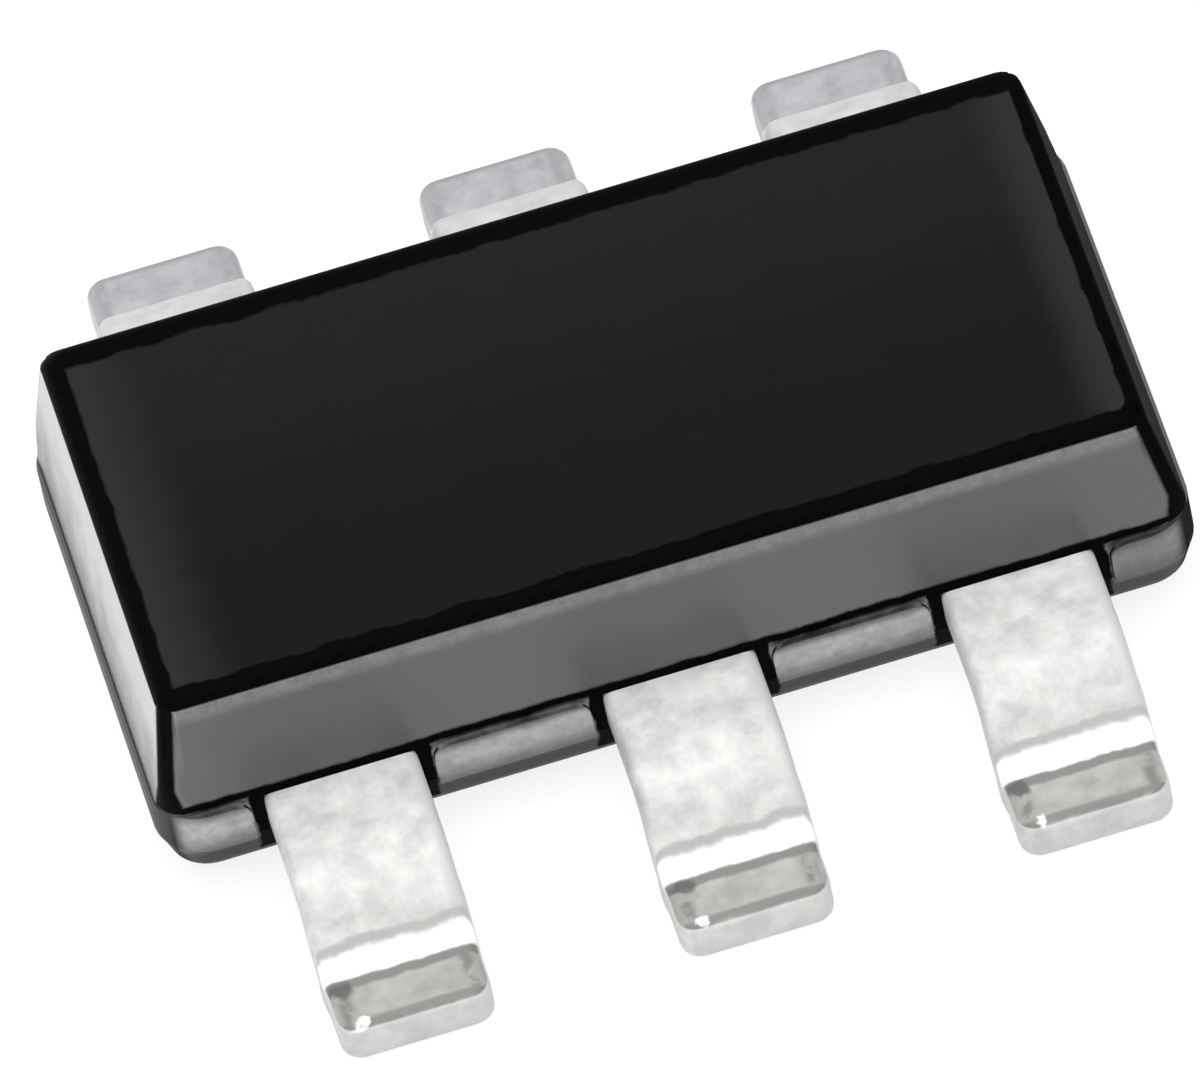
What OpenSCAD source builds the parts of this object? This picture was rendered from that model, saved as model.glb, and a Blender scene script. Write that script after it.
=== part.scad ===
// Analog-to-digital converter chip in a small six-lead gull-wing package.
// The origin is the centre of the package on the board surface. +X runs along
// the body and +Z points up. Seen from above, pins 1 to 3 lie along the front
// edge (-Y) from left to right, and pins 4 to 6 along the back from right to left.

/* [Moulded body] */
// Length of the body at the parting plane
body_l = 2.92; // [2.80:0.01:3.10]
// Width of the body at the parting plane, without the leads
body_w = 1.50; // [1.46:0.02:1.70]
// Height of the body
body_h = 0.69; // [0.66:0.01:0.80]
// Gap between the board and the underside of the body
standoff = 0.07; // [0.05:0.01:0.10]
// Height of the upper half, from the top of the leads to the top of the body
upper_h = 0.40; // [0.36:0.005:0.42]
// Draft angle of the upper walls above the leads
upper_draft = 8; // [4:1:10]
// Draft angle of the upper walls at the ends
end_draft = 10; // [6:1:12]
// Draft angle of the lower walls
lower_draft = 14; // [8:1:16]
// Width of the ledge between the leads, at the parting plane
ledge_w = 0.02; // [0.015:0.005:0.035]
// Width of the ledge at the ends of the body
end_ledge_w = 0.01; // [0.005:0.005:0.025]
// Rounding of the top edges
top_edge_r = 0.045; // [0.02:0.005:0.06]
// Rounding of the bottom edges
bottom_edge_r = 0.09; // [0.04:0.01:0.10]
// Rounding of the upright corners of the upper half
corner_r = 0.03; // [0.02:0.005:0.05]
// Rounding of the outline at the parting plane, seen from above
outline_r = 0.07; // [0.05:0.01:0.07]
// Gap left in the ledge on each side of a lead
ledge_gap = 0.04; // [0.02:0.005:0.06]
// Rounding of the ledge beside such a gap
ledge_end_r = 0.05; // [0.02:0.01:0.08]

/* [Leads] */
// Distance between neighbouring leads, centre to centre
pitch = 0.95; // [0.90:0.01:1.00]
// Distance over the toes of opposite leads
lead_span = 2.85; // [2.80:0.01:2.90]
// Width of a lead
lead_w = 0.43; // [0.36:0.01:0.48]
// Thickness of the lead frame
lead_t = 0.14; // [0.12:0.01:0.16]
// Rounding along the edges of a lead outside the body
lead_edge_r = 0.03; // [0.015:0.005:0.045]
// Inner radius of the upper bend
upper_bend_r = 0.10; // [0.08:0.01:0.12]
// Inner radius of the lower bend
lower_bend_r = 0.07; // [0.05:0.01:0.08]
// Angle of the shank below the horizontal
shank_angle = 65; // [60:1:72]
// Length of the flat of a foot
foot_l = 0.16; // [0.12:0.01:0.20]
// Rounding of the toe corners, seen from above
toe_r = 0.06; // [0.03:0.01:0.08]

/* [Lead frame inside the body] */
// Length of the plain neck behind each exit
neck_l = 0.20; // [0.16:0.01:0.22]
// Length of the bonding posts of the corner leads, towards the middle
post_l = 0.40; // [0.34:0.01:0.42]
// Resin that covers the posts at the ends of the body
end_cover = 0.20; // [0.15:0.01:0.22]
// Length of the T head of lead 5, towards the middle
head_l = 0.12; // [0.10:0.01:0.14]
// Width of the T head of lead 5
head_w = 0.60; // [0.56:0.01:0.70]
// Gap between the paddle and its neighbours
frame_gap = 0.12; // [0.10:0.01:0.14]
// Length of the die paddle
paddle_l = 1.10; // [1.00:0.01:1.14]
// Width of the die paddle
paddle_w = 0.72; // [0.66:0.01:0.76]

/* [Die and wires] */
// Length of the die
die_l = 0.80; // [0.72:0.01:0.88]
// Width of the die
die_w = 0.52; // [0.46:0.01:0.56]
// Thickness of the die
die_t = 0.15; // [0.12:0.01:0.16]
// Thickness of the adhesive under the die
attach_t = 0.02; // [0.01:0.005:0.03]
// Adhesive that shows around the die
attach_rim = 0.02; // [0.01:0.005:0.03]
// Distance from the edge of the die to the centre of a bond pad
pad_inset = 0.06; // [0.05:0.005:0.08]
// Diameter of a bond wire
wire_d = 0.025; // [0.018:0.001:0.032]
// Diameter of the ball on a bond pad
ball_d = 0.065; // [0.05:0.005:0.08]
// Height of the ball
ball_h = 0.015; // [0.010:0.005:0.020]
// Straight rise of the wire above the ball
wire_rise = 0.02; // [0.01:0.005:0.03]
// Radius of the loop at the top of the wire
loop_r = 0.04; // [0.03:0.005:0.05]
// Diameter of the stitch on a lead
stitch_d = 0.064; // [0.050:0.002:0.080]
// Height of the stitch
stitch_h = 0.02; // [0.015:0.005:0.025]

/* [Hidden] */
$fn = 48;

// Colours
resin = [0.13, 0.13, 0.14];
tin = [0.88, 0.88, 0.86];
silicon = [0.36, 0.38, 0.44];
adhesive = [0.62, 0.63, 0.66];
gold = [0.90, 0.72, 0.30];

// Heights above the board
bottom_z = standoff;
top_z = bottom_z + body_h;
frame_top_z = top_z - upper_h;
frame_low_z = frame_top_z - lead_t;
frame_mid_z = frame_top_z - lead_t / 2;

// Centres of the edge roundings: heights, and insets from the foot of the wall
top_arc_z = top_z - top_edge_r;
low_arc_z = bottom_z + bottom_edge_r;
function top_inset(draft) = (top_arc_z - frame_top_z) * tan(draft) + top_edge_r / cos(draft);
low_inset = (frame_low_z - low_arc_z) * tan(lower_draft) + bottom_edge_r / cos(lower_draft);

// Matrix that stands an upright corner on z, with x outwards between its two walls
function corner_frame(end_out, side_out) =
    let (edge = cross(end_out, side_out))
    let (w = edge / norm(edge))
    let (u = (end_out + side_out) / norm(end_out + side_out))
    let (v = cross(w, u))
    [[u.x, v.x, w.x, 0], [u.y, v.y, w.y, 0], [u.z, v.z, w.z, 0], [0, 0, 0, 1]];

// A lead leaves the body at the foot of the upper wall
exit_y = body_w / 2 - ledge_w;

// Gull wing: radii to the middle of the strip, then the lengths that are left over
upper_mid_r = upper_bend_r + lead_t / 2;
lower_mid_r = lower_bend_r + lead_t / 2;
bends_h = (upper_mid_r + lower_mid_r) * (1 - cos(shank_angle));
bends_l = (upper_mid_r + lower_mid_r) * sin(shank_angle);
shank_l = (frame_mid_z - lead_t / 2 - bends_h) / sin(shank_angle);
shoulder_l = lead_span / 2 - exit_y - bends_l - shank_l * cos(shank_angle) - foot_l;

// Inner ends of the lead frame, as distances from the middle of the package
post_outer_y = exit_y - neck_l;
post_inner_y = post_outer_y - post_l;
post_outer_x = body_l / 2 - end_cover;
post_inner_x = paddle_l / 2 + frame_gap;
head_inner_y = post_outer_y - head_l;
paddle_back_y = head_inner_y - frame_gap;
paddle_y = paddle_back_y - paddle_w / 2;

// Heights and places of the die and its wires
die_low_z = frame_top_z + attach_t;
die_top_z = die_low_z + die_t;
pad_x = die_l / 2 - pad_inset;
pad_y = die_w / 2 - pad_inset;
stitch_share = 0.3; // place of a stitch along the bonding post, from its inner end
stitch_x = post_inner_x + (post_outer_x - post_inner_x) * stitch_share;
stitch_y = (post_outer_y + post_inner_y) / 2;
head_stitch_y = (post_outer_y + head_inner_y) / 2;
neck_stitch_y = -(exit_y + paddle_w / 2 - paddle_y) / 2;

// Loops are turned in steps of this angle, so that a loop and its straight run meet face to face
loop_step = 0.01;

// Half of a section across the body, from its middle plane outwards
module half_section(half_width, ledge, draft) {
    foot = half_width - ledge;
    top_centre = [foot - top_inset(draft), top_arc_z];
    low_centre = [foot - low_inset, low_arc_z];
    polygon([
        [0, bottom_z],
        [low_centre.x, bottom_z],
        low_centre,
        low_centre + bottom_edge_r * [cos(lower_draft), -sin(lower_draft)],
        [foot, frame_low_z],
        [half_width, frame_low_z],
        [half_width, frame_top_z],
        [foot, frame_top_z],
        top_centre + top_edge_r * [cos(draft), sin(draft)],
        top_centre,
        [top_centre.x, top_z],
        [0, top_z]
    ]);
    intersection() {
        translate(top_centre) circle(r = top_edge_r);
        translate(top_centre) square([top_edge_r, top_edge_r]);
    }
    intersection() {
        translate(low_centre) circle(r = bottom_edge_r);
        translate([low_centre.x, bottom_z]) square([bottom_edge_r, bottom_edge_r]);
    }
}

// Bar with that section on both sides, running along x
module section_bar(width, ledge, draft, length) {
    rotate([90, 0, 90])
        linear_extrude(height = length, center = true) {
            half_section(width / 2, ledge, draft);
            mirror([1, 0]) half_section(width / 2, ledge, draft);
        }
}

// Outline of the body at the parting plane
module outline() {
    square([body_l - 2 * outline_r, body_w], center = true);
    square([body_l, body_w - 2 * outline_r], center = true);
    for (sx = [-1, 1], sy = [-1, 1]) {
        translate([sx * (body_l / 2 - outline_r), sy * (body_w / 2 - outline_r)])
            circle(r = outline_r);
    }
}

// What the rounding takes off an upright corner of the upper half, at +x and +y
module corner_relief() {
    end_out = [cos(end_draft), 0, sin(end_draft)];
    side_out = [0, cos(upper_draft), sin(upper_draft)];
    half = acos(end_out * side_out) / 2;
    reach = 3 * corner_r;
    translate([body_l / 2 - end_ledge_w, body_w / 2 - ledge_w, frame_top_z])
        multmatrix(corner_frame(end_out, side_out))
            translate([-corner_r / cos(half), 0, -corner_r])
                linear_extrude(height = 2 * upper_h) difference() {
                    polygon([
                        [0, 0],
                        [reach * cos(half), -reach * sin(half)],
                        [reach * 2, 0],
                        [reach * cos(half), reach * sin(half)]
                    ]);
                    circle(r = corner_r);
                }
}

// The moulding before anything is embedded in it
module moulding() {
    difference() {
        intersection() {
            section_bar(body_w, ledge_w, upper_draft, 2 * body_l);
            rotate([0, 0, 90]) section_bar(body_l, end_ledge_w, end_draft, 2 * body_w);
            linear_extrude(height = 2 * top_z) outline();
        }
        intersection() {
            for (mx = [0, 1], my = [0, 1]) {
                mirror([mx, 0, 0]) mirror([0, my, 0]) corner_relief();
            }
            translate([-body_l, -body_w, frame_top_z]) cube([2 * body_l, 2 * body_w, 2 * upper_h]);
        }
    }
}

// Gap in the ledge where a lead comes out, so that the strip can be trimmed
module ledge_cut(column) {
    half_w = lead_w / 2 + ledge_gap;
    translate([column * pitch, exit_y, frame_top_z])
        rotate([-90, 0, 0])
            linear_extrude(height = 2 * ledge_w) {
                translate([-half_w, 0]) square([2 * half_w, lead_t]);
                for (side = [0, 1]) {
                    mirror([side, 0]) translate([half_w, 0]) difference() {
                        square([ledge_end_r, ledge_end_r]);
                        translate([ledge_end_r, ledge_end_r]) circle(r = ledge_end_r);
                    }
                }
            }
}

// Cross section of a lead, thickness along x and width along y
module strip_section() {
    square([lead_t - 2 * lead_edge_r, lead_w], center = true);
    square([lead_t, lead_w - 2 * lead_edge_r], center = true);
    for (sx = [-1, 1], sy = [-1, 1]) {
        translate([sx * (lead_t / 2 - lead_edge_r), sy * (lead_w / 2 - lead_edge_r)])
            circle(r = lead_edge_r);
    }
}

// Straight stretch of strip towards +Y; what follows starts at its end
module run(length) {
    rotate([-90, 90, 0]) linear_extrude(height = length) strip_section();
    translate([0, length, 0]) children();
}

// Bent stretch of strip, down for turn = -1 and up for turn = 1
module bend(turn, mid_r) {
    translate([0, 0, turn * mid_r]) {
        mirror([0, 0, turn > 0 ? 1 : 0])
            rotate([0, -90, 0])
                rotate_extrude(angle = shank_angle)
                    translate([mid_r, 0]) strip_section();
        rotate([turn * shank_angle, 0, 0]) translate([0, 0, -turn * mid_r]) children();
    }
}

// Foot with the corners of its toe rounded
module foot() {
    intersection() {
        run(foot_l);
        translate([0, 0, -lead_t]) linear_extrude(height = 2 * lead_t) {
            translate([-lead_w / 2, 0]) square([lead_w, foot_l - toe_r]);
            translate([toe_r - lead_w / 2, 0]) square([lead_w - 2 * toe_r, foot_l]);
            for (side = [-1, 1]) {
                translate([side * (lead_w / 2 - toe_r), foot_l - toe_r]) circle(r = toe_r);
            }
        }
    }
}

// The part of a lead outside the body, leaving it towards +Y
module gull_wing() {
    translate([0, exit_y, frame_mid_z])
        run(shoulder_l)
            bend(-1, upper_mid_r)
                run(shank_l)
                    bend(1, lower_mid_r)
                        foot();
}

// Flat piece of the stamped lead frame between two corners of its plan
module frame_plate(x0, y0, x1, y1) {
    translate([x0, y0, frame_low_z]) cube([x1 - x0, y1 - y0, lead_t]);
}

// Corner lead, seen with its exit towards +Y; column is 1 or -1
module corner_lead(column) {
    translate([column * pitch, 0, 0]) gull_wing();
    frame_plate(column * pitch - lead_w / 2, post_outer_y, column * pitch + lead_w / 2, exit_y);
    mirror([column > 0 ? 0 : 1, 0, 0])
        frame_plate(post_inner_x, post_inner_y, post_outer_x, post_outer_y);
}

// Middle lead of the back row, held in the resin by its T head
module head_lead() {
    gull_wing();
    frame_plate(-lead_w / 2, post_outer_y, lead_w / 2, exit_y);
    frame_plate(-head_w / 2, head_inner_y, head_w / 2, post_outer_y);
}

// Middle lead of the front row, stamped in one piece with the die paddle
module paddle_lead() {
    rotate([0, 0, 180]) gull_wing();
    frame_plate(-lead_w / 2, -exit_y, lead_w / 2, paddle_back_y - paddle_w);
    frame_plate(-paddle_l / 2, paddle_back_y - paddle_w, paddle_l / 2, paddle_back_y);
}

// One of the six leads. Columns count from the middle: 1 and -1 are the corners.
module lead(pin) {
    color(tin) {
        if (pin == 1) rotate([0, 0, 180]) corner_lead(1);
        if (pin == 2) paddle_lead();
        if (pin == 3) rotate([0, 0, 180]) corner_lead(-1);
        if (pin == 4) corner_lead(1);
        if (pin == 5) head_lead();
        if (pin == 6) corner_lead(-1);
    }
}

module die_attach() {
    color(adhesive)
        translate([-die_l / 2 - attach_rim, paddle_y - die_w / 2 - attach_rim, frame_top_z])
            cube([die_l + 2 * attach_rim, die_w + 2 * attach_rim, attach_t]);
}

module die() {
    color(silicon)
        translate([-die_l / 2, paddle_y - die_w / 2, die_low_z])
            cube([die_l, die_w, die_t]);
}

// Pad on the die and stitch on the lead for each pin, in plan
function pad_place(pin) = [
    [-pad_x, 0, pad_x, pad_x, 0, -pad_x][pin - 1],
    paddle_y + (pin <= 3 ? -pad_y : pad_y)
];
function stitch_place(pin) =
    pin == 2 ? [0, neck_stitch_y]
    : pin == 5 ? [0, head_stitch_y]
    : [(pin == 1 || pin == 6 ? -1 : 1) * stitch_x, (pin <= 3 ? -1 : 1) * stitch_y];

// Wire from a ball on the die, over a round loop and straight down to its stitch
module bond_wire(pin) {
    start = pad_place(pin);
    reach = stitch_place(pin) - start;
    neck_z = die_top_z + ball_h + wire_rise;
    end_z = frame_top_z + wire_d / 2;
    // The straight run is the tangent from the stitch to the circle of the loop
    to_end = [norm(reach) - loop_r, end_z - neck_z];
    exact_slope = atan2(-to_end.y, to_end.x) + asin(loop_r / norm(to_end));
    slope = loop_step * round(exact_slope / loop_step);
    run_l = sqrt(pow(norm(to_end), 2) - pow(loop_r, 2));
    color(gold)
        translate([start.x, start.y, 0])
            rotate([0, 0, atan2(reach.y, reach.x)]) {
                translate([0, 0, die_top_z]) cylinder(d = ball_d, h = ball_h);
                translate([0, 0, die_top_z + ball_h]) cylinder(d = wire_d, h = wire_rise);
                translate([loop_r, 0, neck_z]) {
                    rotate([90, 0, 180])
                        rotate_extrude(angle = 90 + slope)
                            translate([loop_r, 0]) circle(d = wire_d);
                    rotate([0, 90 + slope, 0])
                        translate([-loop_r, 0, 0])
                            cylinder(d = wire_d, h = run_l);
                }
                translate([norm(reach), 0, frame_top_z]) cylinder(d = stitch_d, h = stitch_h);
            }
}

// Black moulding, closed around everything that it was moulded onto
module body() {
    color(resin)
        difference() {
            moulding();
            for (side = [0, 180], column = [-1, 0, 1]) {
                rotate([0, 0, side]) ledge_cut(column);
            }
            for (pin = [1:6]) {
                lead(pin);
                bond_wire(pin);
            }
            die_attach();
            die();
        }
}

body();
lead(1);  // lead_1
lead(2);  // lead_2
lead(3);  // lead_3
lead(4);  // lead_4
lead(5);  // lead_5
lead(6);  // lead_6
die_attach();
die();
bond_wire(1);  // bond_wire_1
bond_wire(2);  // bond_wire_2
bond_wire(3);  // bond_wire_3
bond_wire(4);  // bond_wire_4
bond_wire(5);  // bond_wire_5
bond_wire(6);  // bond_wire_6
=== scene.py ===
"""Analog-to-digital converter chip: leads, finishes and a plain studio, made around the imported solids."""
import math

import bmesh
import bpy
from bpy.props import FloatProperty, FloatVectorProperty, PointerProperty
from bpy.types import Operator, Panel, PropertyGroup
from mathutils import Matrix, Vector


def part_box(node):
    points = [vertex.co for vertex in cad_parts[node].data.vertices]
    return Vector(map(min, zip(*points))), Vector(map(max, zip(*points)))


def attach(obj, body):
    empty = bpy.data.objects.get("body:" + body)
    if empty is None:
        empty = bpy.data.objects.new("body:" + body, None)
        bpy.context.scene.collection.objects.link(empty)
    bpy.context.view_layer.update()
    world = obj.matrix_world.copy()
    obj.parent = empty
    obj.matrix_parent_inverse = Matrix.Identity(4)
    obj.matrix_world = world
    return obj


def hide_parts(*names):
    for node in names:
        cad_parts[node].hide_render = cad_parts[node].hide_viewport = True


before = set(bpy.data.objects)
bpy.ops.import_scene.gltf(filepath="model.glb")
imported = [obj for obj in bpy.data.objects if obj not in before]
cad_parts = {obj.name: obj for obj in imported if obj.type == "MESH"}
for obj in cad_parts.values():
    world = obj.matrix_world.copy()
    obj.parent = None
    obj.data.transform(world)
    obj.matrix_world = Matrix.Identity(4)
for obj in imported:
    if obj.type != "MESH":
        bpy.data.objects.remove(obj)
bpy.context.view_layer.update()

bl_info = {
    "name": "Converter chip",
    "version": (1, 0, 0),
    "blender": (4, 5, 0),
    "location": "3D View > Sidebar > Chip",
    "description": "Makes the leads, the finishes and the studio of a six-lead converter chip",
    "category": "Add Mesh",
}

MM = 0.001
NEAR = 0.0001 * MM      # points closer than this are one
BODY = "root"

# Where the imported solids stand, in metres
BODY_LOW, BODY_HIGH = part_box("body")
LEAD_BOXES = {pin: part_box("lead_%d" % pin) for pin in range(1, 7)}
FRONT_PINS = (1, 2, 3)
COLUMNS = {1: 1, 2: 0, 3: -1, 4: 1, 5: 0, 6: -1}     # in the row, seen with the exit towards +Y
FRAME_TOP = LEAD_BOXES[5][1].z
LEAD_THICKNESS = 0.14 * MM
FRAME_BOTTOM = FRAME_TOP - LEAD_THICKNESS
TOE = LEAD_BOXES[5][1].y

# Fineness of the meshes
BEND_STEPS, TOE_STEPS, EDGE_STEPS = 14, 6, 4
CORNER_FADE = 0.1 * MM          # height over which the ledge's corners turn into those of the walls
CORNER_MARGIN = 0.02 * MM       # from the middle of the low corner's rounding in to that of the fan of cuts
CORNER_LEVELS = (0.25, 0.5, 0.75, 1.0)
CORNER_ANGLES = (10, 18, 25, 30, 34, 38, 42, 46, 50, 54, 58, 62, 67, 74, 82)

# The photograph's frame in pixels, and where the middle of the top lies in it
PHOTO_WIDTH, PHOTO_HEIGHT = 1200, 1083
TOP_X, TOP_Y = 588.4, 382.7
PIXELS_PER_MM = 371.7
SENSOR_WIDTH = 36

# Studio: each lamp's azimuth and elevation in degrees, and its share of the light
SOFTBOXES = {"Key lamp": (-25, 74, 0.72), "Fill lamp": (45, 45, 0.14), "Back lamp": (180, 60, 0.14)}
SOFTBOX_DISTANCE, SOFTBOX_WIDTH = 60 * MM, 50 * MM
FLOOR_HALF_WIDTH = 150 * MM

# Plain colours that aren't the part's own
# The black is painted shade on the moulding: its edges, corners, crease line and the gaps round the leads
WHITE, PAINTED_SHADE_BLACK = (1.0, 1.0, 1.0), (0.0008, 0.0008, 0.0008)
SKY, GLOW, DIM_SKY = (0.95, 0.95, 0.96), (2.0, 2.0, 2.0), (0.25, 0.25, 0.26)

# Sockets of a Mix node for colours
MIX_FACTOR, MIX_FIRST, MIX_SECOND, MIX_RESULT = 0, 6, 7, 2


# Sizes and colours that a user would change

class MouldingSizes(PropertyGroup):
    ledge_width: FloatProperty(
        name="Ledge width", description="Width of the ledge between the leads, at the parting plane",
        default=0.02 * MM, min=0.01 * MM, max=0.05 * MM, unit="LENGTH", precision=6)
    end_ledge_width: FloatProperty(
        name="End ledge width", description="Width of the ledge at the ends of the body",
        default=0.01 * MM, min=0.005 * MM, max=0.05 * MM, unit="LENGTH", precision=6)
    ledge_gap: FloatProperty(
        name="Ledge gap", description="Gap in the ledge on each side of a lead",
        default=0.04 * MM, min=0.01 * MM, max=0.1 * MM, unit="LENGTH", precision=6)
    upper_draft: FloatProperty(
        name="Upper draft", description="Slope of the walls above the leads",
        default=math.radians(8), min=0, max=math.radians(15), subtype="ANGLE")
    end_draft: FloatProperty(
        name="End draft", description="Slope of the walls at the ends",
        default=math.radians(10), min=0, max=math.radians(15), subtype="ANGLE")
    top_rounding: FloatProperty(
        name="Top rounding", description="Radius of the edges round the top",
        default=0.045 * MM, min=0.01 * MM, max=0.08 * MM, unit="LENGTH", precision=6)
    lower_draft: FloatProperty(
        name="Lower draft", description="Slope of the walls below the leads",
        default=math.radians(14), min=0, max=math.radians(20), subtype="ANGLE")
    bottom_rounding: FloatProperty(
        name="Bottom rounding", description="Radius of the edges round the underside",
        default=0.09 * MM, min=0.01 * MM, max=0.12 * MM, unit="LENGTH", precision=6)
    corner_rounding: FloatProperty(
        name="Corner rounding", description="Radius of the upright corners above the leads",
        default=0.05 * MM, min=0.03 * MM, max=0.06 * MM, unit="LENGTH", precision=6)
    ledge_corner_rounding: FloatProperty(
        name="Ledge corner rounding", description="Radius of the corners of the ledge",
        default=0.15 * MM, min=0.1 * MM, max=0.18 * MM, unit="LENGTH", precision=6)
    low_corner_rounding: FloatProperty(
        name="Low corner rounding", description="Radius of the upright corners below the ledge",
        default=0.10 * MM, min=0.07 * MM, max=0.15 * MM, unit="LENGTH", precision=6)


class LeadSizes(PropertyGroup):
    width: FloatProperty(
        name="Width", description="Width of a lead outside the body",
        default=0.43 * MM, min=0.3 * MM, max=0.5 * MM, unit="LENGTH", precision=6)
    thickness: FloatProperty(
        name="Thickness", description="Thickness of the stamped strip",
        default=LEAD_THICKNESS, min=0.08 * MM, max=0.2 * MM, unit="LENGTH", precision=6)
    edge_rounding: FloatProperty(
        name="Edge rounding", description="Radius along the edges of a lead",
        default=0.03 * MM, min=0.005 * MM, max=0.05 * MM, unit="LENGTH", precision=6)
    upper_bend: FloatProperty(
        name="Upper bend", description="Inner radius of the bend beside the body",
        default=0.10 * MM, min=0.05 * MM, max=0.2 * MM, unit="LENGTH", precision=6)
    lower_bend: FloatProperty(
        name="Lower bend", description="Inner radius of the bend above the foot",
        default=0.07 * MM, min=0.04 * MM, max=0.2 * MM, unit="LENGTH", precision=6)
    shank_angle: FloatProperty(
        name="Shank angle", description="Slope of the lead between its bends",
        default=math.radians(65), min=math.radians(50), max=math.radians(80), subtype="ANGLE")
    foot_length: FloatProperty(
        name="Foot length", description="Length of the flat of a foot",
        default=0.16 * MM, min=0.1 * MM, max=0.3 * MM, unit="LENGTH", precision=6)
    toe_rounding: FloatProperty(
        name="Toe rounding", description="Radius of the toe corners, seen from above",
        default=0.06 * MM, min=0.01 * MM, max=0.1 * MM, unit="LENGTH", precision=6)
    bulge: FloatProperty(
        name="Bulge", description="How far the lower bend is pressed out on each side",
        default=0.006 * MM, min=0, max=0.02 * MM, unit="LENGTH", precision=6)
    pitch: FloatProperty(
        name="Pitch", description="Distance between neighbouring leads",
        default=0.95 * MM, min=0.8 * MM, max=1.1 * MM, unit="LENGTH", precision=6)
    neck_length: FloatProperty(
        name="Neck length", description="Plain stretch of a lead just inside the body",
        default=0.20 * MM, min=0.1 * MM, max=0.3 * MM, unit="LENGTH", precision=6)
    paddle_width: FloatProperty(
        name="Paddle width", description="Width of the plate under the die",
        default=0.72 * MM, min=0.5 * MM, max=0.9 * MM, unit="LENGTH", precision=6)


class FinishColours(PropertyGroup):
    resin: FloatVectorProperty(
        name="Resin", description="Colour of the moulded body",
        default=(0.0112, 0.0112, 0.0118), min=0, max=1, size=3, subtype="COLOR")
    # Partly the trimmed resin's own paler tone, partly painted light on the ledge's face
    cut_resin: FloatVectorProperty(
        name="Cut resin", description="Colour of the ledge where the strip was trimmed off",
        default=(0.48, 0.48, 0.49), min=0, max=1, size=3, subtype="COLOR")
    tin: FloatVectorProperty(
        name="Tin", description="Colour of the plated leads",
        default=(0.86, 0.86, 0.84), min=0, max=1, size=3, subtype="COLOR")
    # Painted shade: the grey that stands in for the shaded top of each foot
    shaded_foot_tin: FloatVectorProperty(
        name="Worn tin", description="Colour of the dull tin on the feet",
        default=(0.415, 0.41, 0.395), min=0, max=1, size=3, subtype="COLOR")
    # Painted shade: the darker, cooler grey of the back row's leads
    shaded_cool_tin: FloatVectorProperty(
        name="Cool tin", description="Colour of the cooler, dull tin of the back row",
        default=(0.415, 0.415, 0.435), min=0, max=1, size=3, subtype="COLOR")
    silicon: FloatVectorProperty(
        name="Silicon", description="Colour of the die",
        default=(0.11, 0.12, 0.16), min=0, max=1, size=3, subtype="COLOR")
    adhesive: FloatVectorProperty(
        name="Adhesive", description="Colour of the silver-filled adhesive",
        default=(0.50, 0.51, 0.53), min=0, max=1, size=3, subtype="COLOR")
    gold: FloatVectorProperty(
        name="Gold", description="Colour of the bond wires",
        default=(0.86, 0.57, 0.18), min=0, max=1, size=3, subtype="COLOR")


class StudioSettings(PropertyGroup):
    turn: FloatProperty(
        name="Turn", description="How far the camera stands to the left of the front",
        default=math.radians(5.5), subtype="ANGLE")
    height: FloatProperty(
        name="Height", description="Elevation of the camera above the board",
        default=math.radians(48.94), subtype="ANGLE")
    roll: FloatProperty(
        name="Roll", description="How far the picture is turned",
        default=math.radians(12.39), subtype="ANGLE")
    distance: FloatProperty(
        name="Distance", description="From the camera to the middle of the top",
        default=75 * MM, min=20 * MM, max=1.0, unit="LENGTH")
    view_width: FloatProperty(
        name="View width", description="Width of the picture at the object",
        default=PHOTO_WIDTH / PIXELS_PER_MM * MM, min=1 * MM, max=10 * MM, unit="LENGTH", precision=6)
    aim_right: FloatProperty(
        name="Aim to the right", description="From the middle of the top to the picture's middle, sideways",
        default=(PHOTO_WIDTH / 2 - TOP_X) / PIXELS_PER_MM * MM, min=-1 * MM, max=1 * MM,
        unit="LENGTH", precision=6)
    aim_up: FloatProperty(
        name="Aim upwards", description="From the middle of the top to the picture's middle, upwards",
        default=(TOP_Y - PHOTO_HEIGHT / 2) / PIXELS_PER_MM * MM, min=-1 * MM, max=1 * MM,
        unit="LENGTH", precision=6)
    lamp_level: FloatProperty(
        name="Lamp level", description="Light of all lamps together on a surface that faces them",
        default=0.98, min=0, max=2, subtype="FACTOR")
    sky_level: FloatProperty(
        name="Surroundings level", description="Light of the surroundings on the object",
        default=0.57, min=0, max=2, subtype="FACTOR")


# Node helpers

def add_node(tree, kind, **settings):
    """Adds a node, sets what is named in settings, and returns it."""
    node = tree.nodes.new(kind)
    for key, value in settings.items():
        setattr(node, key, value)
    return node


def feed(socket, value):
    """Gives a socket a plain value, or a link from another socket."""
    if isinstance(value, bpy.types.NodeSocket):
        socket.id_data.links.new(value, socket)
    else:
        socket.default_value = value


def tree_of(*values):
    """The node tree that the first socket among some values belongs to."""
    return next(value.id_data for value in values if isinstance(value, bpy.types.NodeSocket))


def math_node(operation, first, second=None, clamp=False):
    """Adds a Math node with numbers or sockets as its inputs, and returns its output."""
    node = add_node(tree_of(first, second), "ShaderNodeMath", operation=operation, use_clamp=clamp)
    feed(node.inputs[0], first)
    if second is not None:
        feed(node.inputs[1], second)
    return node.outputs[0]


def ramp(value, low, high, out_low=0.0, out_high=1.0):
    """Smooth step of a value from low to high."""
    node = add_node(tree_of(value), "ShaderNodeMapRange", interpolation_type="SMOOTHSTEP")
    for name, item in (("Value", value), ("From Min", low), ("From Max", high),
                       ("To Min", out_low), ("To Max", out_high)):
        feed(node.inputs[name], item)
    return node.outputs["Result"]


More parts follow.
